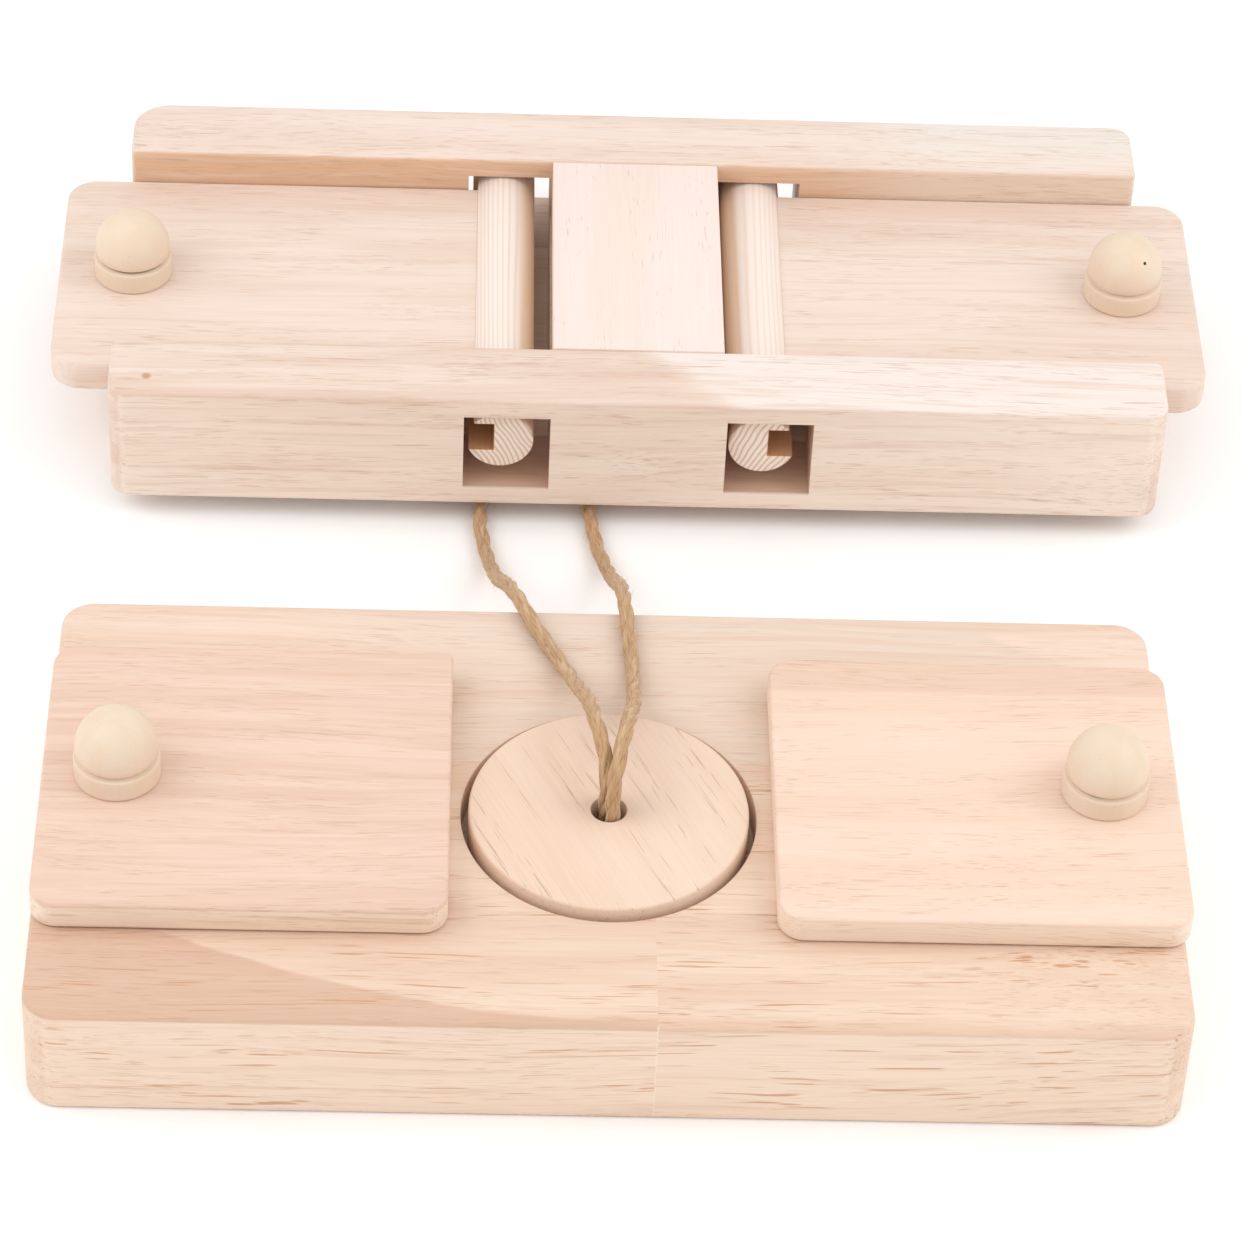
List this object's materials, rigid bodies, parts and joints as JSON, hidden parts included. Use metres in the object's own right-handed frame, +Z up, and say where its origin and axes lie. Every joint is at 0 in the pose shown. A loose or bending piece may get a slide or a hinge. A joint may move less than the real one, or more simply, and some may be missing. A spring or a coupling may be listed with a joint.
{
  "type": "pet treat puzzle",
  "caption": "Wooden treat puzzle for small pets: a board with sliding lids and a rope-lifted plug, and a board with flip lids on notched dowels.",
  "frame": {"origin": "middle of the set's own box, on the surface that both boards stand on", "axes": "+X to the right along the boards, +Y from the front board (slide lids and plug) to the rear board (flip lids), +Z up"},
  "size_m": [0.3396, 0.374, 0.0635],
  "materials": {
    "board_wood": "sanded rubberwood, unvarnished",
    "lid_wood": "sanded rubberwood, unvarnished",
    "knob_wood": "turned and sanded smooth",
    "dowel_wood": "planed pine rod",
    "plate_wood": "sanded plywood face",
    "jute": "twisted plies with stray fibres",
    "screw_steel": "zinc plated"
  },
  "bodies": {
    "front_board": {"base_front_left_stave": "board_wood", "base_front_right_stave": "board_wood", "base_rear_stave": "board_wood"},
    "left_slide": {"left_slide_lid": "lid_wood", "left_lid_runners": "dowel_wood", "left_runner_screws": "screw_steel", "left_slide_knob": "knob_wood", "left_slide_knob_screw": "screw_steel"},
    "right_slide": {"right_slide_lid": "lid_wood", "right_lid_runners": "dowel_wood", "right_runner_screws": "screw_steel", "right_slide_knob": "knob_wood", "right_slide_knob_screw": "screw_steel"},
    "lifting_plug": {"plug": "lid_wood", "rope_loop": "jute", "rope_knot": "jute"},
    "rear_board": {"floor_board": "board_wood", "front_rail": "board_wood", "rear_rail": "board_wood", "front_rail_pins": "dowel_wood", "rear_rail_pins": "dowel_wood", "centre_block": "board_wood", "centre_block_screws": "screw_steel", "centre_plate": "plate_wood"},
    "left_flip": {"left_flip_lid": "lid_wood", "left_pivot_dowel": "dowel_wood", "left_flip_knob": "knob_wood", "left_flip_knob_screw": "screw_steel"},
    "right_flip": {"right_flip_lid": "lid_wood", "right_pivot_dowel": "dowel_wood", "right_flip_knob": "knob_wood", "right_flip_knob_screw": "screw_steel"}
  },
  "joints": [
    {"name": "left_lid_slide", "type": "slide", "parent": "front_board", "child": "left_slide", "axis": [-1, 0, 0], "range_m": [0, 0.054]},
    {"name": "right_lid_slide", "type": "slide", "parent": "front_board", "child": "right_slide", "axis": [1, 0, 0], "range_m": [0, 0.054]},
    {"name": "plug_lift", "type": "slide", "parent": "front_board", "child": "lifting_plug", "axis": [0, 0, 1], "range_m": [0, 0.04], "deforming": ["rope_loop"]},
    {"name": "rear_board_lift", "type": "slide", "parent": "front_board", "child": "rear_board", "axis": [0, 0, 1], "range_m": [0, 0.05]},
    {"name": "left_lid_flip", "type": "hinge", "parent": "rear_board", "child": "left_flip", "pos_m": [-0.038, 0.117, 0.0294], "axis": [0, 1, 0], "range_deg": [0, 92]},
    {"name": "right_lid_flip", "type": "hinge", "parent": "rear_board", "child": "right_flip", "pos_m": [0.038, 0.117, 0.0294], "axis": [0, -1, 0], "range_deg": [0, 92]}
  ]
}
